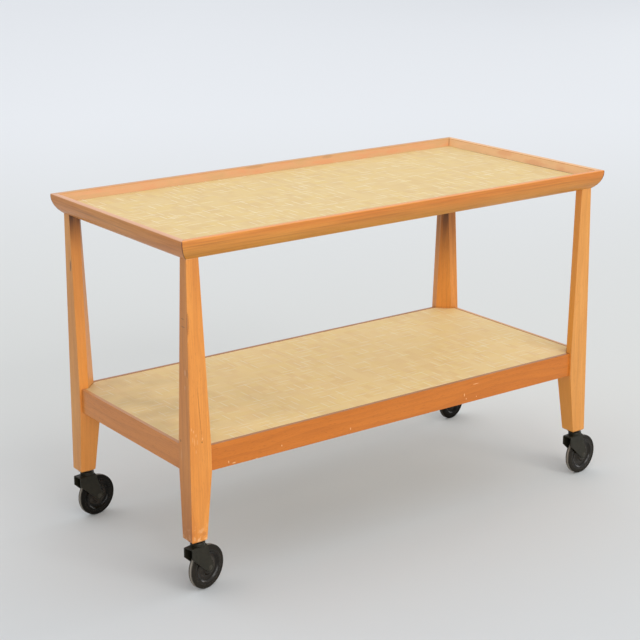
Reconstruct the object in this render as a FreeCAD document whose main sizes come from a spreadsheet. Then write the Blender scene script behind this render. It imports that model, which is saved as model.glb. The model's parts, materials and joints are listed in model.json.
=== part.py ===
"""Serving trolley: a rimmed tray and a shelf on four tapered legs, rolling on four swivel casters.

Millimetres, +Z up, +X along the length. The origin is on the floor under the middle of the tray.
"""
import FreeCAD, Part
import math
import os
import Sketcher

doc = FreeCAD.newDocument("serving_trolley")

# Driving dimensions
DRIVING = (
    ("tray_length", 800),
    ("tray_width", 386),
    ("rim_height", 30),
    ("rim_overhang", 14),
    ("rim_top_width", 8),
    ("rim_round", 1.5),
    ("rim_bow_radius", 33),
    ("rim_wall", 15),
    ("rim_ledge", 23),
    ("well_depth", 13),
    ("board_thickness", 6),
    ("laminate_thickness", 1),
    ("board_gap", 0.3),
    ("leg_length", 420),
    ("leg_splay_x", 5),
    ("leg_splay_y", 3),
    ("leg_top_x", 20.5),
    ("leg_top_y", 16.5),
    ("leg_joint_x", 35.5),
    ("leg_joint_y", 31.5),
    ("leg_foot_x", 26),
    ("leg_foot_y", 26.5),
    ("leg_chamfer_top", 2.5),
    ("leg_chamfer_shelf", 20),
    ("leg_arris", 1),
    ("leg_foot_ease", 2),
    ("shelf_rise", 142),
    ("rail_height", 39),
    ("rail_thickness", 18),
    ("rail_setback", 3.6),
    ("rail_round", 1),
    ("shelf_lip", 6),
    ("shelf_lip_rise", 0.5),
    ("rail_dowel_diameter", 8),
    ("rail_dowel_length", 30),
    ("rail_dowel_inset", 9),
    ("leg_dowel_diameter", 6),
    ("leg_dowel_rise", 8),
    ("leg_dowel_drop", 14),
    ("leg_dowel_inset", 5),
    ("dowel_end_gap", 1),
    ("glue_gap", 0.05),
    ("wheel_diameter", 67),
    ("tyre_height", 6),
    ("tyre_width", 9),
    ("tyre_round", 2),
    ("wheel_rim_thickness", 4),
    ("wheel_web", 3),
    ("wheel_dish_reach", 5.5),
    ("wheel_dish_bow", 8),
    ("hub_diameter", 21),
    ("hub_width", 13),
    ("hub_round", 2),
    ("bush_diameter", 9),
    ("axle_diameter", 6),
    ("axle_head_diameter", 8),
    ("axle_head_height", 1),
    ("running_gap", 0.05),
    ("face_gap", 0.1),
    ("caster_trail", 21),
    ("fork_sheet", 2),
    ("fork_channel", 14),
    ("fork_front", 15),
    ("fork_back", 15),
    ("fork_nose", 16),
    ("fork_end_radius", 6.5),
    ("fork_bend_radius", 3),
    ("fork_headroom", 5),
    ("race_diameter", 22),
    ("race_offset", 5),
    ("race_height", 6),
    ("race_round", 3),
    ("neck_diameter", 12),
    ("neck_height", 3),
    ("pivot_diameter", 10),
    ("rivet_diameter", 13),
    ("rivet_height", 3),
    ("stem_diameter", 8),
    ("stem_end_gap", 2),
    ("stem_tip", 1.5),
    ("socket_wall", 1.5),
    ("socket_length", 38),
    ("flange_diameter", 20),
    ("flange_height", 1.5),
)

# How far each caster is turned at rest, in degrees
TURNS = (
    ("front_left", 15),
    ("front_right", 6),
    ("back_left", 10),
    ("back_right", 13),
)

# Places that follow from the driving dimensions
DERIVED = (
    ("fork_top_z", "Sizes.wheel_diameter + Sizes.fork_headroom + Sizes.fork_sheet"),
    ("race_top_z", "fork_top_z + Sizes.race_height"),
    ("foot_z", "race_top_z + Sizes.neck_height"),
    ("leg_top_z", "foot_z + Sizes.leg_length"),
    ("shelf_top_z", "foot_z + Sizes.shelf_rise"),
    ("rail_bottom_z", "shelf_top_z - Sizes.rail_height"),
    ("sheet_thickness", "Sizes.laminate_thickness + Sizes.board_thickness"),
    ("rebate_z", "shelf_top_z - Sizes.shelf_lip_rise - sheet_thickness"),
    ("ledge_height", "Sizes.rim_height - Sizes.well_depth - sheet_thickness"),
    ("well_floor", "Sizes.rim_height - Sizes.well_depth"),
    ("ledge_inset", "Sizes.rim_wall + Sizes.rim_ledge"),
    ("shelf_drop", "(leg_top_z - shelf_top_z) / Sizes.leg_length"),
    ("rail_drop", "(leg_top_z - rail_bottom_z) / Sizes.leg_length"),
    ("top_out_x", "Sizes.tray_length / 2 - Sizes.rim_overhang"),
    ("top_out_y", "Sizes.tray_width / 2 - Sizes.rim_overhang"),
    ("shelf_out_x", "top_out_x + Sizes.leg_splay_x * shelf_drop"),
    ("shelf_out_y", "top_out_y + Sizes.leg_splay_y * shelf_drop"),
    ("rail_out_x", "top_out_x + Sizes.leg_splay_x * rail_drop"),
    ("rail_out_y", "top_out_y + Sizes.leg_splay_y * rail_drop"),
    ("foot_out_x", "top_out_x + Sizes.leg_splay_x"),
    ("foot_out_y", "top_out_y + Sizes.leg_splay_y"),
    ("top_in_x", "top_out_x - Sizes.leg_top_x"),
    ("top_in_y", "top_out_y - Sizes.leg_top_y"),
    ("joint_in_x", "shelf_out_x - Sizes.leg_joint_x"),
    ("joint_in_y", "shelf_out_y - Sizes.leg_joint_y"),
    ("foot_in_x", "foot_out_x - Sizes.leg_foot_x"),
    ("foot_in_y", "foot_out_y - Sizes.leg_foot_y"),
    ("foot_x", "foot_out_x - Sizes.leg_foot_x / 2"),
    ("foot_y", "foot_out_y - Sizes.leg_foot_y / 2"),
    ("rail_face_x", "shelf_out_x - Sizes.rail_setback"),
    ("rail_face_y", "shelf_out_y - Sizes.rail_setback"),
    ("rail_line_x", "rail_face_x - Sizes.rail_thickness / 2"),
    ("rail_line_y", "rail_face_y - Sizes.rail_thickness / 2"),
    ("low_dowel_z", "rail_bottom_z + Sizes.rail_dowel_inset"),
    ("high_dowel_z", "rebate_z - Sizes.rail_dowel_inset"),
    ("long_dowel_x", "top_in_x + Sizes.leg_dowel_inset"),
    ("long_dowel_y", "top_out_y - Sizes.leg_dowel_inset"),
    ("end_dowel_x", "top_out_x - Sizes.leg_dowel_inset"),
    ("end_dowel_y", "top_in_y + Sizes.leg_dowel_inset"),
    ("wheel_radius", "Sizes.wheel_diameter / 2"),
    ("tyre_seat", "wheel_radius - Sizes.tyre_height"),
    ("fork_width", "Sizes.fork_channel + 2 * Sizes.fork_sheet"),
    ("channel_top_z", "fork_top_z - Sizes.fork_sheet"),
    ("sleeve_radius", "Sizes.stem_diameter / 2 + Sizes.glue_gap + Sizes.socket_wall"),
)

sizes = doc.addObject("Spreadsheet::Sheet", "Sizes")
for row, (alias, value) in enumerate(DRIVING, start=1):
    sizes.set(f"A{row}", alias)
    sizes.set(f"B{row}", str(value))
    sizes.setAlias(f"B{row}", alias)
turns = doc.addObject("Spreadsheet::Sheet", "Turns")
for row, (alias, value) in enumerate(TURNS, start=1):
    turns.set(f"A{row}", alias)
    turns.set(f"B{row}", str(value))
    turns.setAlias(f"B{row}", alias)
places = doc.addObject("Spreadsheet::Sheet", "Places")
for row, (alias, formula) in enumerate(DERIVED, start=1):
    places.set(f"A{row}", alias)
    places.set(f"B{row}", f"={formula}")
    places.setAlias(f"B{row}", alias)
doc.recompute()

CORNERS = {
    "front_left": (-1, -1),
    "front_right": (1, -1),
    "back_left": (-1, 1),
    "back_right": (1, 1),
}
TURN_AXIS = FreeCAD.Vector(0, 0, 1)
NEAR = 0.01
subparts = []


# Sketching and placing
def new_body(label):
    """One sub-part as a body of the document."""
    body = doc.addObject("PartDesign::Body", label)
    body.Label = label
    subparts.append(body)
    return body


def new_sketch(body, name, role, height="0"):
    """A sketch on one of the body's own origin planes, raised by an expression."""
    sketch = body.newObject("Sketcher::SketchObject", name)
    plane = next(f for f in body.Origin.OriginFeatures if f.Role == role)
    sketch.AttachmentSupport = [(plane, "")]
    sketch.MapMode = "FlatFace"
    sketch.setExpression("AttachmentOffset.Base.z", height)
    return sketch


def fix_point(sketch, geometry, position, x, y):
    """Hold a point of the sketch at two expressions."""
    for kind, expression in (("DistanceX", x), ("DistanceY", y)):
        value = float(sketch.evalExpression(expression))
        index = sketch.addConstraint(Sketcher.Constraint(kind, -1, 1, geometry, position, value))
        sketch.setExpression(f"Constraints[{index}]", expression)


def arc_between(start, end, radius, clockwise):
    """Arc from start to end that turns clockwise or counter-clockwise."""
    chord = end - start
    left = FreeCAD.Vector(-chord.y, chord.x, 0).normalize()
    sag = radius - math.sqrt(radius**2 - (chord.Length / 2) ** 2)
    crown = (start + end) / 2 + left * (sag if clockwise else -sag)
    return Part.Arc(start, crown, end)


def outline(sketch, corners):
    """Closed outline through (x, y) corners.

    A corner's third item is the radius of the arc that follows it, bowed outward, or hollow with a minus.
    """
    points = []
    for corner in corners:
        x = float(sketch.evalExpression(corner[0]))
        y = float(sketch.evalExpression(corner[1]))
        points.append(FreeCAD.Vector(x, y, 0))
    pairs = list(zip(points, points[1:] + points[:1]))
    reversed_run = sum(start.x * end.y - end.x * start.y for start, end in pairs) < 0
    first = sketch.GeometryCount
    ends = []
    for corner, (start, end) in zip(corners, pairs):
        clockwise = False
        if len(corner) > 2:
            clockwise = corner[2].startswith("-") != reversed_run
            expression = corner[2].lstrip("-")
            radius = float(sketch.evalExpression(expression))
            edge = sketch.addGeometry(arc_between(start, end, radius, clockwise))
            index = sketch.addConstraint(Sketcher.Constraint("Radius", edge, radius))
            sketch.setExpression(f"Constraints[{index}]", expression)
        else:
            sketch.addGeometry(Part.LineSegment(start, end))
        ends.append((2, 1) if clockwise else (1, 2))
    for number, corner in enumerate(corners):
        following = (number + 1) % len(corners)
        sketch.addConstraint(Sketcher.Constraint(
            "Coincident", first + number, ends[number][1], first + following, ends[following][0]))
        fix_point(sketch, first + number, ends[number][0], corner[0], corner[1])


def pad(body, name, sketch, length, side="Symmetric"):
    """A pad to both sides of its sketch, or to one."""
    made = body.newObject("PartDesign::Pad", name)
    made.Profile = sketch
    made.SideType = side
    made.setExpression("Length", length)


def cut_through(body, name, sketch):
    """A pocket right through the body, to both sides of its sketch."""
    made = body.newObject("PartDesign::Pocket", name)
    made.Profile = sketch
    made.SideType = "Symmetric"
    made.Type = "ThroughAll"


def turned(body, name, role, corners):
    """A solid turned about the sketch's upright axis."""
    sketch = new_sketch(body, f"{name}_profile", role)
    outline(sketch, corners)
    made = body.newObject("PartDesign::Revolution", name)
    made.Profile = sketch
    made.ReferenceAxis = (sketch, ["V_Axis"])
    made.Angle = 360
    return made


def set_place(item, x, y, z, direction=None):
    """Bind an object's place to expressions, with its own Z axis along a direction."""
    if direction is not None:
        item.Placement.Rotation = FreeCAD.Rotation(TURN_AXIS, FreeCAD.Vector(*direction))
    for letter, expression in zip("xyz", (x, y, z)):
        item.setExpression(f".Placement.Base.{letter}", expression)


def bore(body, name, diameter, depth, place, direction, gap="Sizes.glue_gap"):
    """A round hole cut from a place on the surface, along a direction into the piece."""
    hole = body.newObject("PartDesign::SubtractiveCylinder", name)
    hole.setExpression("Radius", f"{diameter} / 2 + {gap}")
    hole.setExpression("Height", depth)
    set_place(hole, *place, direction)


# Tray rim: a bowed, outward-flaring section with a ledge inside, mitred at both ends
def rim_rail(label, run, across, turn, dowel_x, dowel_y):
    body = new_body(label)
    outer = f"-{across} / 2"
    profile = new_sketch(body, f"{label}_profile", "YZ_Plane")
    outline(profile, [
        (f"{outer} + Sizes.rim_overhang", "0"),
        (f"{outer} + Places.ledge_inset", "0"),
        (f"{outer} + Places.ledge_inset", "Places.ledge_height"),
        (f"{outer} + Sizes.rim_wall", "Places.ledge_height"),
        (f"{outer} + Sizes.rim_wall", "Places.well_floor"),
        (f"{outer} + Sizes.rim_top_width + Sizes.rim_round", "Sizes.rim_height - Sizes.rim_round",
         "Sizes.rim_round"),
        (f"{outer} + Sizes.rim_top_width", "Sizes.rim_height"),
        (f"{outer} + Sizes.rim_round", "Sizes.rim_height", "Sizes.rim_round"),
        (outer, "Sizes.rim_height - Sizes.rim_round", "Sizes.rim_bow_radius"),
    ])
    pad(body, f"{label}_stock", profile, run)
    mitres = new_sketch(body, f"{label}_mitre_lines", "XY_Plane")
    past = "Sizes.rim_overhang"
    reach = "(Places.ledge_inset + Sizes.rim_overhang)"
    outline(mitres, [
        (f"{run} / 2 + {past}", f"{outer} - {past}"),
        (f"{run} / 2 + {past}", f"{outer} + {reach}"),
        (f"{run} / 2 - {reach}", f"{outer} + {reach}"),
    ])
    outline(mitres, [
        (f"-{run} / 2 - {past}", f"{outer} - {past}"),
        (f"-{run} / 2 + {reach}", f"{outer} + {reach}"),
        (f"-{run} / 2 - {past}", f"{outer} + {reach}"),
    ])
    cut_through(body, f"{label}_mitres", mitres)
    for side, name in ((-1, "first"), (1, "second")):
        bore(body, f"{label}_{name}_dowel_hole", "Sizes.leg_dowel_diameter",
             "Sizes.leg_dowel_rise + Sizes.dowel_end_gap",
             (f"{side} * {dowel_x}", f"-{dowel_y}", "0"), (0, 0, 1))
    body.Placement.Rotation = FreeCAD.Rotation(TURN_AXIS, turn)
    body.setExpression(".Placement.Base.z", "Places.leg_top_z")


rim_rail("tray_rim_front", "Sizes.tray_length", "Sizes.tray_width", 0,
         "Places.long_dowel_x", "Places.long_dowel_y")
rim_rail("tray_rim_back", "Sizes.tray_length", "Sizes.tray_width", 180,
         "Places.long_dowel_x", "Places.long_dowel_y")
rim_rail("tray_rim_right", "Sizes.tray_width", "Sizes.tray_length", 90,
         "Places.end_dowel_y", "Places.end_dowel_x")
rim_rail("tray_rim_left", "Sizes.tray_width", "Sizes.tray_length", -90,
         "Places.end_dowel_y", "Places.end_dowel_x")


# Tray board on the ledge, and the laminate on the board
def tray_layer(label, thickness, height):
    layer = doc.addObject("Part::Box", label)
    layer.Label = label
    subparts.append(layer)
    half_length = "(Sizes.tray_length / 2 - Sizes.rim_wall - Sizes.board_gap)"
    half_width = "(Sizes.tray_width / 2 - Sizes.rim_wall - Sizes.board_gap)"
    layer.setExpression("Length", f"2 * {half_length}")
    layer.setExpression("Width", f"2 * {half_width}")
    layer.setExpression("Height", thickness)
    set_place(layer, f"-{half_length}", f"-{half_width}", height)


tray_layer("tray_board", "Sizes.board_thickness", "Places.leg_top_z + Places.ledge_height")
tray_layer("tray_laminate", "Sizes.laminate_thickness",
           "Places.leg_top_z + Places.ledge_height + Sizes.board_thickness")


# Legs: square at the shelf joint, tapered to top and foot on the inner sides, leaning slightly
# outward, with a chamfer on the inner corner that stops at the shelf and leaves a shoulder there
def leg(corner, side_x, side_y):
    label = f"leg_{corner}"
    body = new_body(label)
    levels = (
        ("foot_face", "Places.foot_z", "foot", "foot", "Sizes.leg_foot_ease"),
        ("foot", "Places.foot_z + Sizes.leg_foot_ease", "foot", "foot", "0"),
        ("rail", "Places.rail_bottom_z", "joint", "rail", "0"),
        ("shelf", "Places.shelf_top_z", "joint", "shelf", "0"),
        ("top", "Places.leg_top_z", "top", "top", "0"),
    )
    arris = "Sizes.leg_arris"
    sections = []
    for name, height, inner, outer, inset in levels:
        section = new_sketch(body, f"{label}_{name}_section", "XY_Plane", height)
        near_x = f"{side_x} * (Places.{inner}_in_x + {inset})"
        far_x = f"{side_x} * (Places.{outer}_out_x - {inset})"
        near_y = f"{side_y} * (Places.{inner}_in_y + {inset})"
        far_y = f"{side_y} * (Places.{outer}_out_y - {inset})"
        outline(section, [
            (near_x, near_y),
            (f"{far_x} - {side_x} * {arris}", near_y, arris),
            (far_x, f"{near_y} + {side_y} * {arris}"),
            (far_x, f"{far_y} - {side_y} * {arris}", arris),
            (f"{far_x} - {side_x} * {arris}", far_y),
            (f"{near_x} + {side_x} * {arris}", far_y, arris),
            (near_x, f"{far_y} - {side_y} * {arris}"),
        ])
        sections.append(section)
    taper = body.newObject("PartDesign::AdditiveLoft", f"{label}_taper")
    taper.Profile = sections[0]
    taper.Sections = sections[1:]
    taper.Ruled = True
    cuts = []
    for name, height, inner, size in (
        ("stop", "Places.rebate_z", "joint", "Sizes.leg_chamfer_shelf"),
        ("shelf", "Places.shelf_top_z", "joint", "Sizes.leg_chamfer_shelf"),
        ("top", "Places.leg_top_z", "top", "Sizes.leg_chamfer_top"),
    ):
        cut = new_sketch(body, f"{label}_chamfer_{name}", "XY_Plane", height)
        past = "Sizes.leg_chamfer_shelf"
        near_x = f"{side_x} * (Places.{inner}_in_x - {past})"
        near_y = f"{side_y} * (Places.{inner}_in_y - {past})"
        far_x = f"{side_x} * (Places.{inner}_in_x + {size} + {past})"
        far_y = f"{side_y} * (Places.{inner}_in_y + {size} + {past})"
        outline(cut, [(near_x, near_y), (far_x, near_y), (near_x, far_y)])
        cuts.append(cut)
    chamfer = body.newObject("PartDesign::SubtractiveLoft", f"{label}_chamfer")
    chamfer.Profile = cuts[0]
    chamfer.Sections = cuts[1:]
    chamfer.Ruled = True
    depth = "Sizes.rail_dowel_length / 2 + Sizes.dowel_end_gap"
    for level in ("low", "high"):
        bore(body, f"{label}_{level}_long_hole", "Sizes.rail_dowel_diameter", depth,
             (f"{side_x} * Places.joint_in_x", f"{side_y} * Places.rail_line_y", f"Places.{level}_dowel_z"),
             (side_x, 0, 0))
        bore(body, f"{label}_{level}_end_hole", "Sizes.rail_dowel_diameter", depth,
             (f"{side_x} * Places.rail_line_x", f"{side_y} * Places.joint_in_y", f"Places.{level}_dowel_z"),
             (0, side_y, 0))
    for name in ("long", "end"):
        bore(body, f"{label}_{name}_top_hole", "Sizes.leg_dowel_diameter",
             "Sizes.leg_dowel_drop + Sizes.dowel_end_gap",
             (f"{side_x} * Places.{name}_dowel_x", f"{side_y} * Places.{name}_dowel_y", "Places.leg_top_z"),
             (0, 0, -1))
    bore(body, f"{label}_socket_hole", "2 * Places.sleeve_radius",
         "Sizes.socket_length + Sizes.dowel_end_gap",
         (f"{side_x} * Places.foot_x", f"{side_y} * Places.foot_y", "Places.foot_z"), (0, 0, 1))


for corner, (side_x, side_y) in CORNERS.items():
    leg(corner, side_x, side_y)


# Shelf rails: plain rails with a rebate along the top, dowelled between the legs
def shelf_rail(label, half_run, face, turn):
    body = new_body(label)
    outer = f"-{face}"
    profile = new_sketch(body, f"{label}_profile", "YZ_Plane")
    outline(profile, [
        (f"{outer} + Sizes.rail_round", "Places.rail_bottom_z"),
        (f"{outer} + Sizes.rail_thickness", "Places.rail_bottom_z"),
        (f"{outer} + Sizes.rail_thickness", "Places.rebate_z"),
        (f"{outer} + Sizes.shelf_lip", "Places.rebate_z"),
        (f"{outer} + Sizes.shelf_lip", "Places.shelf_top_z"),
        (f"{outer} + Sizes.rail_round", "Places.shelf_top_z", "Sizes.rail_round"),
        (outer, "Places.shelf_top_z - Sizes.rail_round"),
        (outer, "Places.rail_bottom_z + Sizes.rail_round", "Sizes.rail_round"),
    ])
    pad(body, f"{label}_stock", profile, f"2 * {half_run}")
    for side, end in ((-1, "first"), (1, "second")):
        for level in ("low", "high"):
            bore(body, f"{label}_{end}_{level}_hole", "Sizes.rail_dowel_diameter",
                 "Sizes.rail_dowel_length / 2 + Sizes.dowel_end_gap",
                 (f"{side} * {half_run}", f"{outer} + Sizes.rail_thickness / 2", f"Places.{level}_dowel_z"),
                 (-side, 0, 0))
    body.Placement.Rotation = FreeCAD.Rotation(TURN_AXIS, turn)


shelf_rail("shelf_rail_front", "Places.joint_in_x", "Places.rail_face_y", 0)
shelf_rail("shelf_rail_back", "Places.joint_in_x", "Places.rail_face_y", 180)
shelf_rail("shelf_rail_right", "Places.joint_in_y", "Places.rail_face_x", 90)
shelf_rail("shelf_rail_left", "Places.joint_in_y", "Places.rail_face_x", -90)


# Shelf board and laminate: notched round the legs, with the chamfers cut across the corners
def shelf_layer(label, thickness, height):
    body = new_body(label)
    edge_x = "(Places.rail_face_x - Sizes.shelf_lip - Sizes.board_gap)"
    edge_y = "(Places.rail_face_y - Sizes.shelf_lip - Sizes.board_gap)"
    notch_x = "(Places.joint_in_x - Sizes.board_gap)"
    notch_y = "(Places.joint_in_y - Sizes.board_gap)"
    slant = "(Sizes.leg_chamfer_shelf + Sizes.board_gap * (2 - sqrt(2)))"
    quarter = (
        (edge_x, notch_y),
        (f"({notch_x} + {slant})", notch_y),
        (notch_x, f"({notch_y} + {slant})"),
        (notch_x, edge_y),
    )
    corners = []
    for side_x, side_y in ((1, 1), (-1, 1), (-1, -1), (1, -1)):
        steps = quarter if side_x == side_y else quarter[::-1]
        corners += [(f"{side_x} * {x}", f"{side_y} * {y}") for x, y in steps]
    plan = new_sketch(body, f"{label}_plan", "XY_Plane", height)
    outline(plan, corners)
    pad(body, f"{label}_sheet", plan, thickness, "One side")


shelf_layer("shelf_board", "Sizes.board_thickness", "Places.rebate_z")
shelf_layer("shelf_laminate", "Sizes.laminate_thickness", "Places.rebate_z + Sizes.board_thickness")


# Dowels: one group in the rail joints, one between the legs and the rim
def dowel(name, diameter, length, place, direction):
    pin = doc.addObject("Part::Cylinder", name)
    pin.setExpression("Radius", f"{diameter} / 2")
    pin.setExpression("Height", length)
    set_place(pin, *place, direction)
    return pin


def dowel_group(label, pins):
    group = doc.addObject("Part::Compound", label)
    group.Label = label
    group.Links = pins
    subparts.append(group)


rail_pins = []
leg_pins = []
for corner, (side_x, side_y) in CORNERS.items():
    half = "Sizes.rail_dowel_length / 2"
    for level in ("low", "high"):
        rail_pins.append(dowel(
            f"{corner}_{level}_long_dowel", "Sizes.rail_dowel_diameter", "Sizes.rail_dowel_length",
            (f"{side_x} * (Places.joint_in_x - {half})", f"{side_y} * Places.rail_line_y",
             f"Places.{level}_dowel_z"), (side_x, 0, 0)))
        rail_pins.append(dowel(
            f"{corner}_{level}_end_dowel", "Sizes.rail_dowel_diameter", "Sizes.rail_dowel_length",
            (f"{side_x} * Places.rail_line_x", f"{side_y} * (Places.joint_in_y - {half})",
             f"Places.{level}_dowel_z"), (0, side_y, 0)))
    for name in ("long", "end"):
        leg_pins.append(dowel(
            f"{corner}_{name}_leg_dowel", "Sizes.leg_dowel_diameter",
            "Sizes.leg_dowel_drop + Sizes.leg_dowel_rise",
            (f"{side_x} * Places.{name}_dowel_x", f"{side_y} * Places.{name}_dowel_y",
             "Places.leg_top_z - Sizes.leg_dowel_drop"), (0, 0, 1)))
dowel_group("rail_dowels", rail_pins)
dowel_group("leg_dowels", leg_pins)


# Casters: each piece is drawn with the stem's axis on Z and the wheel trailing along +X
def caster_body(corner, piece, side_x, side_y, trail="0", height="0"):
    body = new_body(f"{corner}_{piece}")
    angle = f"Turns.{corner}"
    body.Placement.Rotation = FreeCAD.Rotation(TURN_AXIS, 1)
    body.setExpression(".Placement.Rotation.Angle", f"{angle} * 1 deg")
    set_place(body, f"{side_x} * Places.foot_x + {trail} * cos({angle})",
              f"{side_y} * Places.foot_y + {trail} * sin({angle})", height)
    return body


def socket(body):
    """Flanged sleeve that is driven into the foot of the leg."""
    inside = "Sizes.stem_diameter / 2 + Sizes.glue_gap"
    turned(body, f"{body.Label}_sleeve", "XZ_Plane", [
        (inside, "Places.foot_z - Sizes.flange_height"),
        ("Sizes.flange_diameter / 2", "Places.foot_z - Sizes.flange_height"),
        ("Sizes.flange_diameter / 2", "Places.foot_z"),
        ("Places.sleeve_radius", "Places.foot_z"),
        ("Places.sleeve_radius", "Places.foot_z + Sizes.socket_length"),
        (inside, "Places.foot_z + Sizes.socket_length"),
    ])


def stem(body):
    """Stem in the sleeve, the neck that carries the load, the swivel pivot and its riveted head."""
    head_top = "Places.channel_top_z - Sizes.face_gap"
    neck_foot = "Places.race_top_z + Sizes.face_gap"
    neck_top = "Places.foot_z - Sizes.flange_height"
    tip = "Places.foot_z + Sizes.socket_length - Sizes.stem_end_gap"
    turned(body, f"{body.Label}_turning", "XZ_Plane", [
        ("0", f"{head_top} - Sizes.rivet_height"),
        ("Sizes.rivet_diameter / 2", f"{head_top} - Sizes.rivet_height"),
        ("Sizes.rivet_diameter / 2", head_top),
        ("Sizes.pivot_diameter / 2", head_top),
        ("Sizes.pivot_diameter / 2", neck_foot),
        ("Sizes.neck_diameter / 2", neck_foot),
        ("Sizes.neck_diameter / 2", neck_top),
        ("Sizes.stem_diameter / 2", neck_top),
        ("Sizes.stem_diameter / 2", f"{tip} - Sizes.stem_tip"),
        ("Sizes.stem_diameter / 2 - Sizes.stem_tip", tip),
        ("0", tip),
    ])


def race(body):
    """Domed swivel housing on the fork under the neck, set back toward the wheel and bored for the pivot."""
    turned(body, f"{body.Label}_dome", "XZ_Plane", [
        ("0", "Places.fork_top_z"),
        ("Sizes.race_diameter / 2", "Places.fork_top_z"),
        ("Sizes.race_diameter / 2", "Places.race_top_z - Sizes.race_round", "Sizes.race_round"),
        ("Sizes.race_diameter / 2 - Sizes.race_round", "Places.race_top_z"),
        ("0", "Places.race_top_z"),
    ])
    bore(body, f"{body.Label}_pivot_hole", "Sizes.pivot_diameter", "2 * Sizes.race_height",
         ("-Sizes.race_offset", "0", "Places.fork_top_z - Sizes.race_height / 2"), (0, 0, 1),
         "Sizes.running_gap")


def fork(body):
    """Sheet bent into a channel, open in front, with cheeks that run down and back to the axle."""
    name = body.Label
    side = new_sketch(body, f"{name}_cheek", "XZ_Plane")
    points = {
        "front_top": ("-Sizes.fork_front", "Places.fork_top_z"),
        "front_low": ("-Sizes.fork_front", "Places.fork_top_z - Sizes.fork_nose"),
        "back_top": ("Sizes.fork_back", "Places.fork_top_z"),
        "axle": ("Sizes.caster_trail", "Places.wheel_radius"),
    }
    at = {}
    for key, pair in points.items():
        x, y = (float(side.evalExpression(expression)) for expression in pair)
        at[key] = FreeCAD.Vector(x, y, 0)
    radius = float(side.evalExpression("Sizes.fork_end_radius"))

    def touch(corner, turn):
        """Point where a line from a corner touches the round end, on one side of the axle."""
        away = corner - at["axle"]
        bearing = math.atan2(away.y, away.x) + turn * math.acos(radius / away.Length)
        return bearing, at["axle"] + FreeCAD.Vector(math.cos(bearing), math.sin(bearing), 0) * radius

    low_bearing, low_touch = touch(at["front_low"], 1)
    back_bearing, back_touch = touch(at["back_top"], -1)
    side.addGeometry(Part.LineSegment(at["front_top"], at["front_low"]))
    side.addGeometry(Part.LineSegment(at["front_low"], low_touch))
    circle = Part.Circle(at["axle"], FreeCAD.Vector(0, 0, 1), radius)
    side.addGeometry(Part.ArcOfCircle(circle, low_bearing, back_bearing + 2 * math.pi))
    side.addGeometry(Part.LineSegment(back_touch, at["back_top"]))
    side.addGeometry(Part.LineSegment(at["back_top"], at["front_top"]))
    side.addConstraint(Sketcher.Constraint("Coincident", 0, 2, 1, 1))
    side.addConstraint(Sketcher.Constraint("Tangent", 1, 2, 2, 1))
    side.addConstraint(Sketcher.Constraint("Tangent", 2, 2, 3, 1))
    side.addConstraint(Sketcher.Constraint("Coincident", 3, 2, 4, 1))
    side.addConstraint(Sketcher.Constraint("Coincident", 4, 2, 0, 1))
    fix_point(side, 0, 1, *points["front_top"])
    fix_point(side, 0, 2, *points["front_low"])
    fix_point(side, 4, 1, *points["back_top"])
    fix_point(side, 2, 3, *points["axle"])
    index = side.addConstraint(Sketcher.Constraint("Radius", 2, radius))
    side.setExpression(f"Constraints[{index}]", "Sizes.fork_end_radius")
    pad(body, f"{name}_block", side, "Places.fork_width")
    doc.recompute()
    block = body.Tip
    long_edges = []
    for number, edge in enumerate(block.Shape.Edges, start=1):
        start, end = (vertex.Point for vertex in edge.Vertexes)
        if min(start.z, end.z) > at["front_top"].y - NEAR and abs(start.y - end.y) < NEAR:
            long_edges.append(f"Edge{number}")
    bends = body.newObject("PartDesign::Fillet", f"{name}_bends")
    bends.Base = (block, long_edges)
    bends.setExpression("Radius", "Sizes.fork_bend_radius")
    channel = new_sketch(body, f"{name}_channel_section", "YZ_Plane")
    outline(channel, [
        ("-Sizes.fork_channel / 2", "0"),
        ("Sizes.fork_channel / 2", "0"),
        ("Sizes.fork_channel / 2", "Places.channel_top_z"),
        ("-Sizes.fork_channel / 2", "Places.channel_top_z"),
    ])
    cut_through(body, f"{name}_channel", channel)
    bore(body, f"{name}_pivot_hole", "Sizes.pivot_diameter", "2 * Sizes.fork_sheet",
         ("0", "0", "Places.channel_top_z - Sizes.fork_sheet / 2"), (0, 0, 1), "Sizes.running_gap")
    bore(body, f"{name}_axle_hole", "Sizes.axle_diameter", "Places.fork_width",
         ("Sizes.caster_trail", "-Places.fork_width / 2", "Places.wheel_radius"), (0, 1, 0))


def axle(body):
    """Pin riveted through both cheeks, with a low domed head on each side."""
    half = "Places.fork_width / 2"
    head = "Sizes.axle_head_diameter / 2"
    rise = "Sizes.axle_head_height"
    dome = f"(({head}) ^ 2 + {rise} ^ 2) / (2 * {rise})"
    turned(body, f"{body.Label}_pin", "XY_Plane", [
        ("0", f"-{half} - {rise}", dome),
        (head, f"-{half}"),
        ("Sizes.axle_diameter / 2", f"-{half}"),
        ("Sizes.axle_diameter / 2", half),
        (head, half, dome),
        ("0", f"{half} + {rise}"),
    ])


def bush(body):
    """Plain tube that turns on the axle."""
    inside = "Sizes.axle_diameter / 2 + Sizes.running_gap"
    turned(body, f"{body.Label}_tube", "XY_Plane", [
        (inside, "-Sizes.hub_width / 2"),
        ("Sizes.bush_diameter / 2", "-Sizes.hub_width / 2"),
        ("Sizes.bush_diameter / 2", "Sizes.hub_width / 2"),
        (inside, "Sizes.hub_width / 2"),
    ])


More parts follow.
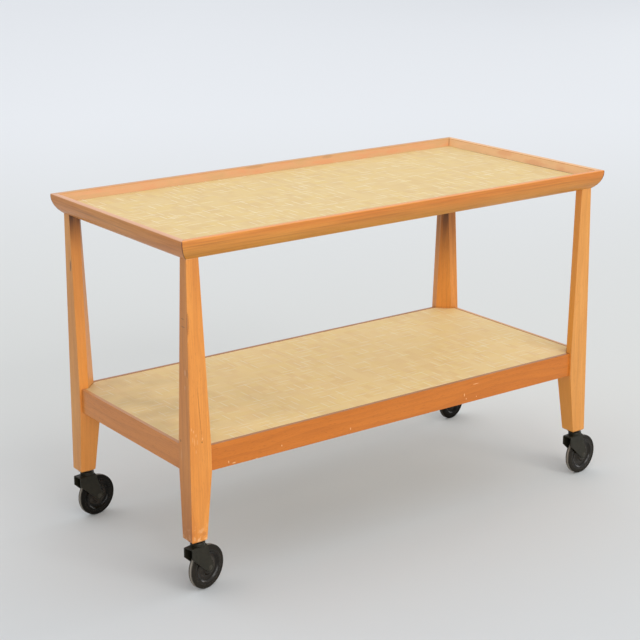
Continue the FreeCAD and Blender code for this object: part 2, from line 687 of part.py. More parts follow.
def wheel_disc(body):
    """Moulded disc: a rounded hub, a thin web hollowed out on both faces and a rim that carries the tyre."""
    rim_out = "Places.tyre_seat - Sizes.glue_gap"
    rim_in = f"{rim_out} - Sizes.wheel_rim_thickness"
    hub = "Sizes.hub_diameter / 2"
    bore_edge = "Sizes.bush_diameter / 2 + Sizes.glue_gap"
    reach = "Sizes.wheel_dish_reach"
    hollow = "-Sizes.wheel_dish_bow"
    turned(body, f"{body.Label}_moulding", "XY_Plane", [
        (bore_edge, "-Sizes.hub_width / 2"),
        (f"{hub} - Sizes.hub_round", "-Sizes.hub_width / 2", "Sizes.hub_round"),
        (hub, "-Sizes.hub_width / 2 + Sizes.hub_round", hollow),
        (f"{hub} + {reach}", "-Sizes.wheel_web / 2"),
        (f"{rim_in} - {reach}", "-Sizes.wheel_web / 2", hollow),
        (rim_in, "-Sizes.tyre_width / 2"),
        (rim_out, "-Sizes.tyre_width / 2"),
        (rim_out, "Sizes.tyre_width / 2"),
        (rim_in, "Sizes.tyre_width / 2", hollow),
        (f"{rim_in} - {reach}", "Sizes.wheel_web / 2"),
        (f"{hub} + {reach}", "Sizes.wheel_web / 2", hollow),
        (hub, "Sizes.hub_width / 2 - Sizes.hub_round", "Sizes.hub_round"),
        (f"{hub} - Sizes.hub_round", "Sizes.hub_width / 2"),
        (bore_edge, "Sizes.hub_width / 2"),
    ])


def tyre(body):
    """Hard rubber ring with a flat tread and rounded shoulders."""
    half = "Sizes.tyre_width / 2"
    shoulder = "Sizes.tyre_round"
    outer = "Places.wheel_radius"
    turned(body, f"{body.Label}_ring", "XY_Plane", [
        ("Places.tyre_seat", f"-{half}"),
        (f"{outer} - {shoulder}", f"-{half}", shoulder),
        (outer, f"-{half} + {shoulder}"),
        (outer, f"{half} - {shoulder}", shoulder),
        (f"{outer} - {shoulder}", half),
        ("Places.tyre_seat", half),
    ])


for corner, (side_x, side_y) in CORNERS.items():
    for piece, make in (("socket", socket), ("stem", stem), ("fork", fork)):
        make(caster_body(corner, piece, side_x, side_y))
    race(caster_body(corner, "race", side_x, side_y, "Sizes.race_offset"))
    for piece, make in (("axle", axle), ("bush", bush), ("wheel_disc", wheel_disc), ("tyre", tyre)):
        make(caster_body(corner, piece, side_x, side_y, "Sizes.caster_trail", "Places.wheel_radius"))

# Check every object, then write one file for each sub-part
doc.recompute()
for item in doc.Objects:
    if "Invalid" in item.State or "Error" in item.State:
        raise RuntimeError(f"{item.Name} failed: {item.State}")
for item in subparts:
    if item.Shape.isNull() or not item.Shape.isValid() or not item.Shape.Solids:
        raise RuntimeError(f"{item.Label} has no valid solid")
os.makedirs("parts", exist_ok=True)
for item in subparts:
    item.Shape.exportStep(f"parts/{item.Label}.step")
print(f"{len(subparts)} sub-parts written")
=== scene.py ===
"""Serving trolley: lacquered beech frame, linen-print laminate and four swivel casters. Metres, +Z up."""
import json
import math

import bpy
from mathutils import Matrix, Vector


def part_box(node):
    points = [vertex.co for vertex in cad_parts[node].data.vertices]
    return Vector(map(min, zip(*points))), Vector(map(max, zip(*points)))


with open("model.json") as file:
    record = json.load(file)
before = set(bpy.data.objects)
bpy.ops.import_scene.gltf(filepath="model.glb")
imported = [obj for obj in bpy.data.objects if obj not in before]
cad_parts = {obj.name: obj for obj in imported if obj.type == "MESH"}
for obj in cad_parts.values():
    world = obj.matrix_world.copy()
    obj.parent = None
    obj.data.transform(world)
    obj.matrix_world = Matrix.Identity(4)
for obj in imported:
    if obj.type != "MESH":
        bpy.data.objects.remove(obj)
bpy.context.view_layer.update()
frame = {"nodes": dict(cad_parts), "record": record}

# LEGS
# Four beech legs, sawn to a taper both ways from the shelf joint, planed and eased by hand.
# They are stained amber and lacquered. Two dowels in each top carry the tray, and the foot takes
# the caster's socket.


def linear(code):
    """Linear colour of an sRGB hex value."""
    parts = [int(code[i:i + 2], 16) / 255 for i in (1, 3, 5)]
    return tuple(c / 12.92 if c <= 0.04045 else ((c + 0.055) / 1.055) ** 2.4 for c in parts) + (1.0,)


def add(tree, kind, inputs=None, **settings):
    """One shader node, with its settings and with its inputs set or linked."""
    made = tree.nodes.new(f"ShaderNode{kind}")
    for key, value in settings.items():
        setattr(made, key, value)
    for socket, value in (inputs or {}).items():
        if isinstance(value, bpy.types.NodeSocket):
            tree.links.new(value, made.inputs[socket])
        else:
            made.inputs[socket].default_value = value
    return made.outputs


def new_finish(name):
    """A material, its node tree, its shader and the place of each point of the object at rest."""
    material = bpy.data.materials.new(name)
    material.use_nodes = True
    tree = material.node_tree
    return material, tree, tree.nodes["Principled BSDF"], add(tree, "TexCoord")["Object"]


def ground(material, mask, first, second):
    """Start a surface with two tones, mixed by a mask."""
    tree = material.node_tree
    mixed = add(tree, "Mix", {"Factor": mask, "A": linear(first), "B": linear(second)}, data_type="RGBA")
    tree.links.new(mixed["Result"], tree.nodes["Principled BSDF"].inputs["Base Color"])


def tint(material, code, mask, *others):
    """Lay a colour over what the surface has so far, as far as the masks go when they are multiplied."""
    tree = material.node_tree
    for other in others:
        mask = add(tree, "Math", {0: mask, 1: other}, operation="MULTIPLY")[0]
    base = tree.nodes["Principled BSDF"].inputs["Base Color"]
    under = base.links[0].from_socket
    mixed = add(tree, "Mix", {"Factor": mask, "A": under, "B": linear(code)}, data_type="RGBA")
    tree.links.new(mixed["Result"], base)


def facing(tree, way):
    """How squarely the surface faces one way, up to 1."""
    normal = add(tree, "NewGeometry")["True Normal"]
    return add(tree, "VectorMath", {0: normal, 1: way}, operation="DOT_PRODUCT")["Value"]


# Knocks come in patches of about 14 mm.
KNOCK = 0.01429


def knocked_edges(tree, width, place):
    """Mask of the sharp edges, broken up as knocks and rubbing leave them."""
    soft = add(tree, "Bevel", {"Radius": width}, samples=6)[0]
    sharp = add(tree, "NewGeometry")["Normal"]
    match = add(tree, "VectorMath", {0: soft, 1: sharp}, operation="DOT_PRODUCT")["Value"]
    edge = add(tree, "MapRange", {"Value": match, "From Min": 0.995, "From Max": 0.90})[0]
    knock = {"Vector": place, "Scale": 1 / KNOCK, "Detail": 4.0, "Roughness": 0.65}
    bare = {"Value": add(tree, "TexNoise", knock)["Fac"], "From Min": 0.44, "From Max": 0.62}
    return add(tree, "Math", {0: edge, 1: add(tree, "MapRange", bare)[0]}, operation="MULTIPLY")[0]


def wear(names, material):
    """Give CAD nodes their finish."""
    for name in names:
        slots = frame["nodes"][name].data.materials
        slots.clear()
        slots.append(material)


# Lacquered beech: quiet straight grain in long soft streaks, faint growth rings, a satin shine that
# takes the colour of the room at a slant, paler wood where the edges are rubbed through, and painted
# shade in the nooks.
# Rays are drawn two to three times life size and pores about ten times, so that they show at this distance.
# Each part of the figure has its width across the grain, its length along it and its detail.
CLOUD = (0.045, 0.20, 1.5)
STREAK = (0.0028, 0.16, 2.5)
PORE = (0.0010, 0.030, 2.0)
RAY = (0.0011, 0.0075, 1.0)
BEND = (0.05, 0.35, 2.0)
BEND_REACH = 0.035
RING_PITCH = 0.0085
LATE_WOOD = 0.92
RING_STRENGTH, PORE_STRENGTH = 0.14, 0.20
RUBBED_EDGE = 0.0012
PORE_DEPTH = 0.0003
BARE_WOOD, NOOK_SHADE = "#F2CB9C", "#5A2F14"
LACQUER_IOR = 1.5
ALONG = {"X": "YZX", "Y": "ZXY", "Z": "XYZ"}


def lacquered_beech(name, grain, log_shift, pale, mid, dark,
                    streaks=0.24, rays=0.2, worn=0.5, nook_reach=0.006):
    """Beech with its grain along one axis, cut from its own place in the log."""
    material, tree, shader, place = new_finish(name)
    split = add(tree, "SeparateXYZ", {0: place})
    turned = add(tree, "CombineXYZ", {i: split[letter] for i, letter in enumerate(ALONG[grain])})[0]
    log = add(tree, "VectorMath", {0: turned, 1: log_shift}, operation="ADD")[0]

    def figure(wide, long, detail):
        """Noise drawn out along the grain."""
        cell = (1 / wide, 1 / wide, 1 / long)
        scaled = add(tree, "VectorMath", {0: log, 1: cell}, operation="MULTIPLY")[0]
        drawn_out = {"Vector": scaled, "Scale": 1.0, "Detail": detail, "Roughness": 0.6}
        return add(tree, "TexNoise", drawn_out)["Fac"]

    cloud, streak, pore, ray = (
        add(tree, "MapRange", {"Value": figure(*part), "From Min": least, "From Max": most})[0]
        for part, least, most in (
            (CLOUD, 0.32, 0.68), (STREAK, 0.46, 0.74), (PORE, 0.48, 0.75), (RAY, 0.60, 0.72),
        )
    )
    across = add(tree, "VectorMath", {0: log, 1: (1, 1, 0)}, operation="MULTIPLY")[0]
    radius = add(tree, "VectorMath", {0: across}, operation="LENGTH")["Value"]
    bent = add(tree, "Math", {0: figure(*BEND), 1: BEND_REACH, 2: radius}, operation="MULTIPLY_ADD")[0]
    years = add(tree, "Math", {0: bent, 1: 1 / RING_PITCH}, operation="MULTIPLY")[0]
    season = add(tree, "Math", {0: years}, operation="FRACT")[0]
    late = add(tree, "MapRange", {"Value": season, "From Min": 0.3, "From Max": LATE_WOOD},
               interpolation_type="SMOOTHSTEP")[0]
    winter = {"Value": season, "From Min": LATE_WOOD, "From Max": 1.0, "To Min": 1.0, "To Max": 0.0}
    ring = add(tree, "Math", {0: late, 1: add(tree, "MapRange", winter)[0]}, operation="MULTIPLY")[0]
    ground(material, cloud, pale, mid)
    for mask, strength in ((ring, RING_STRENGTH), (streak, streaks), (pore, PORE_STRENGTH), (ray, rays)):
        tint(material, dark, mask, strength)
    rubbed = knocked_edges(tree, RUBBED_EDGE, place)
    tint(material, BARE_WOOD, rubbed, worn)
    # Painted shade: dark brown laid into nooks and under overhangs, where the rim and the rails shade the
    # wood.
    nook = add(tree, "AmbientOcclusion", {"Distance": nook_reach}, samples=6)["AO"]
    nook_shade = {"Value": nook, "From Min": 0.62, "From Max": 0.25, "To Max": 0.7}
    tint(material, NOOK_SHADE, add(tree, "MapRange", nook_shade)[0])
    shine = add(tree, "MapRange", {"Value": pore, "To Min": 0.33, "To Max": 0.45})[0]
    dulled = add(tree, "Math", {0: rubbed, 1: 0.2, 2: shine}, operation="MULTIPLY_ADD")[0]
    tree.links.new(dulled, shader.inputs["Roughness"])
    relief = add(tree, "Bump", {"Strength": 0.15, "Distance": PORE_DEPTH, "Height": pore}, invert=True)[0]
    tree.links.new(relief, shader.inputs["Normal"])
    shader.inputs["IOR"].default_value = LACQUER_IOR
    return material


LEG_AMBER = ("#E5943F", "#DA8532", "#A0531A")
LEG_GOLDEN = ("#E59F4F", "#DA9140", "#A25E1D")
# The legs carry the painted nook shade farther out, as far as the shade under the rim reaches.
LEG_NOOK = 0.014
leg_woods = {}
for corner, log_shift, tones, worn in (
    ("front_left", (0.43, 0.25, 0.1), LEG_AMBER, 0.7),
    ("front_right", (-0.31, 0.27, 1.3), LEG_GOLDEN, 0.5),
    ("back_left", (0.47, -0.09, 2.7), LEG_GOLDEN, 0.5),
    ("back_right", (-0.33, -0.08, 3.9), LEG_AMBER, 0.4),
):
    name = f"lacquered_beech_leg_{corner}"
    leg_woods[corner] = lacquered_beech(name, "Z", log_shift, *tones, worn=worn, nook_reach=LEG_NOOK)
    wear([f"leg_{corner}"], leg_woods[corner])

# Painted light and shade: one face of each leg is made lighter or darker, as the light falls on it.
# Each has the way that it faces, its colour and how strong that is.
LEFTWARD, FRONTWARD = (-1, 0, 0), (0, -1, 0)
for corner, way, code, amount in (
    ("front_left", LEFTWARD, "#8A5A30", 0.18),
    ("front_right", LEFTWARD, "#F8A23C", 0.65),
    ("back_right", LEFTWARD, "#EAAA6C", 0.5),
    ("back_left", FRONTWARD, "#FFA04A", 0.4),
):
    # Painted light and shade on one face of the leg.
    tree = leg_woods[corner].node_tree
    square_on = {"Value": facing(tree, way), "From Min": 0.8, "From Max": 0.95, "To Max": amount}
    tint(leg_woods[corner], code, add(tree, "MapRange", square_on)[0])

# The back legs darken down the inner side from the top in long licks: painted shade where the tray
# shadows them, with some dark figure of heartwood on the back right.
# Each has the way that its side faces, and the heights where it ends and where it is full.
LICK_WIDE, LICK_LONG = 0.007, 0.11
TRAY_SHADE_AND_FIGURE = "#321200"
for corner, inward, end, full in (
    ("back_left", (0.25, -0.97, 0), 0.43, 0.515),
    ("back_right", (-0.707, -0.707, 0), 0.27, 0.43),
):
    tree = leg_woods[corner].node_tree
    spot = add(tree, "TexCoord")["Object"]
    height = add(tree, "SeparateXYZ", {0: spot})["Z"]
    inner = add(tree, "MapRange", {"Value": facing(tree, inward), "From Min": 0.4, "From Max": 0.85})[0]
    rise = add(tree, "MapRange", {"Value": height, "From Min": end, "From Max": full},
               interpolation_type="SMOOTHSTEP")[0]
    cell = (1 / LICK_WIDE, 1 / LICK_WIDE, 1 / LICK_LONG)
    long_spot = add(tree, "VectorMath", {0: spot, 1: cell}, operation="MULTIPLY")[0]
    flicker = add(tree, "TexNoise", {"Vector": long_spot, "Scale": 1.0, "Detail": 2.0})["Fac"]
    lick = add(tree, "MapRange", {"Value": flicker, "From Min": 0.38, "From Max": 0.60, "To Min": 0.75})[0]
    # Painted shade from the tray, in long licks.
    tint(leg_woods[corner], TRAY_SHADE_AND_FIGURE, inner, rise, lick)

# The front left foot has been kicked most. Its lacquer is bare in pale and brown patches of about 8 mm,
# and its left side darkens towards the floor.
SCRAPE = 0.007692
SCRAPE_TOP, SCRAPE_FULL = 0.115, 0.085
DARK_TOP, DARK_FULL = 0.20, 0.10
front_left = leg_woods["front_left"]
tree = front_left.node_tree
spot = add(tree, "TexCoord")["Object"]
height = add(tree, "SeparateXYZ", {0: spot})["Z"]
at_foot = add(tree, "MapRange", {"Value": height, "From Min": SCRAPE_TOP, "From Max": SCRAPE_FULL})[0]
scrape = add(tree, "TexNoise", {"Vector": spot, "Scale": 1 / SCRAPE, "Detail": 3.0})["Fac"]
for least, most, code in ((0.54, 0.64, "#F6C48E"), (0.44, 0.34, "#B4602A")):
    patch = add(tree, "MapRange", {"Value": scrape, "From Min": least, "From Max": most, "To Max": 0.6})[0]
    tint(front_left, code, at_foot, patch)
left_side = add(tree, "MapRange", {"Value": facing(tree, LEFTWARD), "From Min": 0.8, "From Max": 0.95})[0]
lower = {"Value": height, "From Min": DARK_TOP, "From Max": DARK_FULL, "To Max": 0.3}
tint(front_left, "#7A3C10", left_side, add(tree, "MapRange", lower)[0])

# A mark's outline is ragged in steps of about 1 mm.
RAGGED = 0.001111


def mark(material, centre, half, code, amount, lean=0.0):
    """One small mark of wear, placed and sized in millimetres. Lean is its shift along X with height."""
    tree = material.node_tree
    spot = add(tree, "TexCoord")["Object"]
    ragged = add(tree, "TexNoise", {"Vector": spot, "Scale": 1 / RAGGED, "Detail": 2.0})["Fac"]
    middle = tuple(mm / 1000 for mm in centre)
    arm = add(tree, "VectorMath", {0: spot, 1: middle}, operation="SUBTRACT")[0]
    off = add(tree, "SeparateXYZ", {0: arm})
    upright = add(tree, "Math", {0: off["Z"], 1: -lean, 2: off["X"]}, operation="MULTIPLY_ADD")[0]
    turned = add(tree, "CombineXYZ", {0: upright, 1: off["Y"], 2: off["Z"]})[0]
    cell = tuple(1000 / mm for mm in half)
    scaled = add(tree, "VectorMath", {0: turned, 1: cell}, operation="MULTIPLY")[0]
    reach = add(tree, "VectorMath", {0: scaled}, operation="LENGTH")["Value"]
    rough_reach = add(tree, "Math", {0: reach, 1: ragged}, operation="ADD")[0]
    inside = {"Value": rough_reach, "From Min": 1.5, "From Max": 1.2, "To Max": amount}
    tint(material, code, add(tree, "MapRange", inside)[0])


# Marks of use on the front left leg: a drying check, rubbed spots and a nick in front.
LEG_FRONT, LEG_LEFT = -181, -388
mark(front_left, (-372, LEG_FRONT, 278), (0.9, 6, 46), "#94490F", 0.45, lean=-0.062)
for across, high, half_high, amount in (
    (-386.0, 256.7, 2.6, 0.33), (-382.8, 253.0, 2.6, 0.33), (-379.0, 246.2, 2.6, 0.275),
    (-368.5, 239.3, 2.6, 0.33), (-384.5, 241.0, 5.0, 0.22), (-381.5, 237.0, 6.0, 0.22),
    (-377.0, 236.0, 5.0, 0.22), (-379.5, 222.0, 3.5, 0.22),
):
    mark(front_left, (across, LEG_FRONT, high), (0.9, 6, half_high), "#FACC96", amount)
mark(front_left, (-369.4, LEG_FRONT, 234.5), (1.2, 6, 1.5), "#6A3A14", 0.6)

# On its left side are two curls of grain, pale and dark flecks, knocks at the height of the shelf and a
# dark stretch of the edge.
for back, high, half_wide, half_high, code in (
    (-167.3, 416.2, 5.0, 1.1, "#5A3416"),
    (-168.2, 404.9, 5.5, 1.1, "#5A3416"),
    (-171.1, 338.8, 1.8, 5.0, "#E6BCA0"),
    (-176.4, 338.8, 1.6, 7.0, "#6E3A1C"),
    (-170.3, 316.6, 1.5, 4.0, "#D8AC8A"),
    (-155.3, 233.9, 2.2, 2.2, "#3A200C"),
    (-157.3, 212.6, 1.4, 9.0, "#D8AA7E"),
):
    mark(front_left, (LEG_LEFT, back, high), (6, half_wide, half_high), code, 0.4)
mark(front_left, (-387, -180, 412), (3, 3, 20), "#7A3A14", 0.45)

# A small knot on the left side of the back left leg.
mark(leg_woods["back_left"], (-387, 163.5, 423), (6, 2.4, 10), "#3E220C", 0.6)

# SHELF RAILS
# Four plain beech rails dowelled between the legs, rebated along the top for the shelf board.
# They took a redder stain than the legs, have short ray flecks and a few chips, and their narrow
# top lip is rubbed to a dull tan.
RAIL_TONES = ("#CE7620", "#C46C16", "#90430A")
LEFT_RAIL_TONES = ("#DB8A3C", "#D18032", "#9A5218")
UPWARD = (0, 0, 1)
rail_woods = {}
for side, grain, log_shift, tones, lip_tone in (
    ("front", "X", (0.28, -0.13, 0.4), RAIL_TONES, "#AE7036"),
    ("back", "X", (-0.10, -0.14, 2.1), RAIL_TONES, "#A87448"),
    ("left", "Y", (-0.14, 0.48, 0.9), LEFT_RAIL_TONES, "#C78C56"),
    ("right", "Y", (-0.13, -0.29, 1.7), RAIL_TONES, "#E0A466"),
):
    name = f"lacquered_beech_shelf_{side}"
    wood = lacquered_beech(name, grain, log_shift, *tones, streaks=0.07, rays=0.3, worn=0.4)
    tree = wood.node_tree
    lip = {"Value": facing(tree, UPWARD), "From Min": 0.45, "From Max": 0.85, "To Max": 0.9}
    tint(wood, lip_tone, add(tree, "MapRange", lip)[0])
    rail_woods[side] = wood
    wear([f"shelf_rail_{side}"], wood)

# Chips in the lacquer of the front rail, as (along, up, half length, half height) in millimetres.
RAIL_FRONT, CHIP_REACH = -190, 50
for along, high, half_long, half_high in (
    (-323.3, 192.7, 0.9, 2.4), (-314, 189.4, 3.4, 0.9), (-275, 187.0, 2.2, 0.7), (-230.4, 196.3, 1.0, 1.6),
    (-104, 194.4, 1.0, 2.3), (123, 200.5, 0.9, 3.0), (127, 193.5, 0.9, 1.8), (148.5, 193.1, 0.9, 1.2),
    (147, 214.8, 7.0, 0.6),
):
    mark(rail_woods["front"], (along, RAIL_FRONT, high), (half_long, CHIP_REACH, half_high), "#F0BE86", 0.8)

# TRAY RIM
# Four beech mouldings with a bowed outer face, mitred at the corners and glued over the leg dowels.
# The mitres have opened a little and hold a line of dark old glue and polish.
RIM_TONES = ("#DA903C", "#CE7D2D", "#9A5819")
MITRE_HALF, MITRE_SOFT = 0.0006, 2.2
OLD_GLUE = "#55220F"
rim_low, rim_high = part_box("tray_rim_front")
mitre_step = rim_high[0] + rim_low[1]

# Each moulding has its streaks, the paler tone of its inner side and its top, which is rubbed wear with
# painted light and sky sheen over it, how far that goes on the one and on the other, and how worn its edges
# are.
rim_woods = {}
for side, grain, log_shift, streaks, rubbed_and_sky_lit_tone, inside, on_top, worn in (
    ("front", "X", (0.29, -0.42, 0.3), 0.6, "#F6A656", 0.6, 0.8, 0.2),
    ("back", "X", (-0.11, -0.44, 1.9), 0.4, "#DEAC7A", 0.7, 0.5, 0.45),
    ("left", "Y", (-0.43, 0.49, 2.3), 0.55, "#EDB48A", 0.85, 0.8, 0.45),
    ("right", "Y", (-0.44, -0.28, 3.1), 0.4, "#FFCB90", 0.95, 0.75, 0.45),
):
    name = f"lacquered_beech_rim_{side}"
    wood = lacquered_beech(name, grain, log_shift, *RIM_TONES, streaks=streaks, rays=0.12, worn=worn)
    tree = wood.node_tree
    split = add(tree, "SeparateXYZ", {0: add(tree, "TexCoord")["Object"]})
    along_x = add(tree, "Math", {0: split["X"]}, operation="ABSOLUTE")[0]
    along_y = add(tree, "Math", {0: split["Y"]}, operation="ABSOLUTE")[0]
    step = add(tree, "Math", {0: along_x, 1: along_y}, operation="SUBTRACT")[0]
    past = add(tree, "Math", {0: step, 1: mitre_step}, operation="SUBTRACT")[0]
    off = add(tree, "Math", {0: past}, operation="ABSOLUTE")[0]
    # Upward faces are paler: rubbed wear, with a painted sheen of the sky and painted light.
    upward = facing(tree, UPWARD)
    inner = add(tree, "MapRange", {"Value": upward, "From Min": 0.25, "From Max": 0.42})[0]
    rubbed = {"Value": upward, "From Min": 0.80, "From Max": 0.97, "To Min": inside, "To Max": on_top}
    tint(wood, rubbed_and_sky_lit_tone, inner, add(tree, "MapRange", rubbed)[0])
    seam = {"Value": off, "From Min": MITRE_SOFT * MITRE_HALF, "From Max": MITRE_HALF, "To Max": 0.92}
    outside = add(tree, "MapRange", {"Value": upward, "From Min": 0.6, "From Max": 0.1, "To Min": 0.25})[0]
    tint(wood, OLD_GLUE, add(tree, "MapRange", seam)[0], outside)
    rim_woods[side] = wood
    wear([f"tray_rim_{side}"], wood)

# The upper edge of the front moulding is painted redder and its lower part more olive: painted light and
# shade of its bowed face, lit differently above and below. Each has the depths below the top where it
# starts and is full.
rim_top = rim_high[2]
tree = rim_woods["front"].node_tree
height = add(tree, "SeparateXYZ", {0: add(tree, "TexCoord")["Object"]})["Z"]
for start, full, amount, code in ((0.009, 0.006, 0.12, "#DE661E"), (0.010, 0.020, 0.25, "#B48628")):
    band = {"Value": height, "From Min": rim_top - start, "From Max": rim_top - full, "To Max": amount}
    tint(rim_woods["front"], code, add(tree, "MapRange", band)[0])

# The inner sides of the back and right mouldings are uneven, with straw patches of bare wood and redder
# ones where the lacquer is whole. The back one has two dark streaks along its top edge.
PATCH_LONG, PATCH_WIDE = 0.050, 0.014
EDGE_BACK, EDGE_HIGH = 184, 531
for side, cell, straw in (
    ("back", (PATCH_LONG, PATCH_WIDE, PATCH_WIDE), 0.40),
    ("right", (PATCH_WIDE, PATCH_LONG, PATCH_WIDE), 0.15),
):
    tree = rim_woods[side].node_tree
    spot = add(tree, "TexCoord")["Object"]
    per_cell = tuple(1 / size for size in cell)
    long_spot = add(tree, "VectorMath", {0: spot, 1: per_cell}, operation="MULTIPLY")[0]
    patchy = add(tree, "TexNoise", {"Vector": long_spot, "Scale": 1.0, "Detail": 3.0})["Fac"]
    for least, most, code, amount in ((0.50, 0.66, "#C6A062", straw), (0.48, 0.34, "#E48A54", 0.32)):
        patch = {"Value": patchy, "From Min": least, "From Max": most, "To Max": amount}
        tint(rim_woods[side], code, add(tree, "MapRange", patch)[0])
for along, half_long in ((-32, 20), (118, 13)):
    mark(rim_woods["back"], (along, EDGE_BACK, EDGE_HIGH), (half_long, 5, 3), "#A07044", 0.3)

# TRAY AND SHELF LAMINATE
# Thin melamine sheets printed with a pale linen weave, glued to the boards.
# The print is a straw ground with broken off-white threads both ways, drawn at about its real pitch.
THREAD_PITCH = 0.0125
THREAD_LONG = 0.031
THREAD_WIDE = 0.0014
ROW_SHIFT = 9.0
THREAD_STRENGTH = 0.75
THREAD_WHITE = "#FFF4D6"


def threads(tree, along, across, seed):
    """Mask of broken threads that run along one way, each row with its own breaks."""
    row_place = add(tree, "Math", {0: across, 1: 1 / THREAD_PITCH, 2: seed}, operation="MULTIPLY_ADD")[0]
    row = add(tree, "Math", {0: row_place}, operation="FLOOR")[0]
    row_chance = add(tree, "TexWhiteNoise", {"W": row}, noise_dimensions="1D")["Value"]
    shift = add(tree, "Math", {0: row_chance, 1: ROW_SHIFT}, operation="MULTIPLY")[0]
    run_place = add(tree, "Math", {0: along, 1: 1 / THREAD_LONG, 2: shift}, operation="MULTIPLY_ADD")[0]
    run = add(tree, "Math", {0: run_place}, operation="FLOOR")[0]
    pair = add(tree, "CombineXYZ", {0: row, 1: run, 2: seed})[0]
    lots = add(tree, "SeparateColor", {0: add(tree, "TexWhiteNoise", {"Vector": pair})["Color"]})

    # Across the row, each thread has a middle of its own and soft sides.
    within = add(tree, "Math", {0: row_place}, operation="FRACT")[0]
    middle = add(tree, "MapRange", {"Value": lots[0], "To Min": 0.25, "To Max": 0.75})[0]
    past = add(tree, "Math", {0: within, 1: middle}, operation="SUBTRACT")[0]
    off = add(tree, "Math", {0: past}, operation="ABSOLUTE")[0]
    half = THREAD_WIDE / THREAD_PITCH / 2
    line = add(tree, "MapRange", {"Value": off, "From Min": 1.6 * half, "From Max": 0.4 * half})[0]

    # Along the row it fades out at both ends, and about half of the threads are left out.
    run_within = add(tree, "Math", {0: run_place}, operation="FRACT")[0]
    from_middle = add(tree, "Math", {0: run_within, 1: 0.5}, operation="SUBTRACT")[0]
    reach = add(tree, "Math", {0: from_middle}, operation="ABSOLUTE")[0]
    ends = add(tree, "MapRange", {"Value": reach, "From Min": 0.48, "From Max": 0.22},
               interpolation_type="SMOOTHSTEP")[0]
    shown = add(tree, "MapRange", {"Value": lots[1], "From Min": 0.45, "From Max": 0.95})[0]
    drawn = add(tree, "Math", {0: line, 1: ends}, operation="MULTIPLY")[0]
    return add(tree, "Math", {0: drawn, 1: shown}, operation="MULTIPLY")[0]


# Printed melamine: a flat satin sheet, so the eye gets the print and a broad soft sheen.
# Its pressed surface has a fine grit, drawn several times life size to show. Painted shade darkens it
# along the edges, where the rims shade it.
GRIT, GRIT_DEPTH = 0.0007143, 0.0002
EDGE_SHADE_REACH = 0.004
MELAMINE_IOR = 1.5


def linen_print(name, straw, yellower, browner):
    """A straw ground in woven cells of three tones, with pale threads over it."""
    material, tree, shader, place = new_finish(name)
    split = add(tree, "SeparateXYZ", {0: place})
    flat = add(tree, "CombineXYZ", {0: split["X"], 1: split["Y"]})[0]

    def cells(long_x, long_y):
        """A chance for each cell of the weave."""
        scaled = add(tree, "VectorMath", {0: flat, 1: (1 / long_x, 1 / long_y, 0)}, operation="MULTIPLY")[0]
        corner = add(tree, "VectorMath", {0: scaled}, operation="FLOOR")[0]
        return add(tree, "TexWhiteNoise", {"Vector": corner})["Value"]

    weft = cells(2 * THREAD_PITCH, THREAD_PITCH)
    warp = cells(THREAD_PITCH, 2 * THREAD_PITCH)
    yellow = add(tree, "MapRange", {"Value": weft, "From Min": 0.3, "To Max": 0.55})[0]
    tan = add(tree, "MapRange", {"Value": warp, "From Min": 0.4, "To Max": 0.42})[0]
    ground(material, yellow, straw, yellower)
    tint(material, browner, tan)
    for along, across, seed in ((split["X"], split["Y"], 3.0), (split["Y"], split["X"], 41.0)):
        tint(material, THREAD_WHITE, threads(tree, along, across, seed), THREAD_STRENGTH)
    # Painted shade along the edges of the sheet, next to the rims.
    nook = add(tree, "AmbientOcclusion", {"Distance": EDGE_SHADE_REACH}, samples=6)["AO"]
    nook_shade = {"Value": nook, "From Min": 0.7, "From Max": 0.45, "To Max": 0.35}
    tint(material, "#7A5A3C", add(tree, "MapRange", nook_shade)[0])
    grit = add(tree, "TexNoise", {"Vector": place, "Scale": 1 / GRIT, "Detail": 1.0})["Fac"]
    satin = add(tree, "MapRange", {"Value": grit, "To Min": 0.48, "To Max": 0.62})[0]
    relief = add(tree, "Bump", {"Strength": 0.08, "Distance": GRIT_DEPTH, "Height": grit})[0]
    tree.links.new(satin, shader.inputs["Roughness"])
    tree.links.new(relief, shader.inputs["Normal"])
    shader.inputs["IOR"].default_value = MELAMINE_IOR
    return material


tray_print = linen_print("melamine_linen_print_tray", "#E7C98A", "#E8C87A", "#DBB67A")
wear(["tray_laminate"], tray_print)
# The shelf's print is painted lighter than the tray's: painted light that makes up for the tray's shade
# above it.
shelf_print = linen_print("melamine_linen_print_shelf", "#F6D898", "#F4D588", "#ECC484")
wear(["shelf_laminate"], shelf_print)

# Dark dust in the crack at the right end of the tray, in millimetres.
CRACK_RIGHT, TRAY_TOP = 384.7, 520
for across, half_long, amount in ((0, 170, 0.4), (-85, 62, 0.75)):
    mark(tray_print, (CRACK_RIGHT, across, TRAY_TOP), (2.6, half_long, 3), "#5C3E1E", amount)

# Painted shade: soft grey blots of about 90 mm on the left end of the shelf, where the tray and the legs
# shade it.
SHADE_BLOT = 0.0909
SHADE_FROM, SHADE_FULL = -0.08, -0.36
tree = shelf_print.node_tree
spot = add(tree, "TexCoord")["Object"]
cloudy = add(tree, "TexNoise", {"Vector": spot, "Scale": 1 / SHADE_BLOT, "Detail": 2.0})["Fac"]
blot = add(tree, "MapRange", {"Value": cloudy, "From Min": 0.3, "From Max": 0.7})[0]
lengthwise = add(tree, "SeparateXYZ", {0: spot})["X"]
left_end = {"Value": lengthwise, "From Min": SHADE_FROM, "From Max": SHADE_FULL, "To Max": 0.5}
tint(shelf_print, "#B0956A", blot, add(tree, "MapRange", left_end)[0])

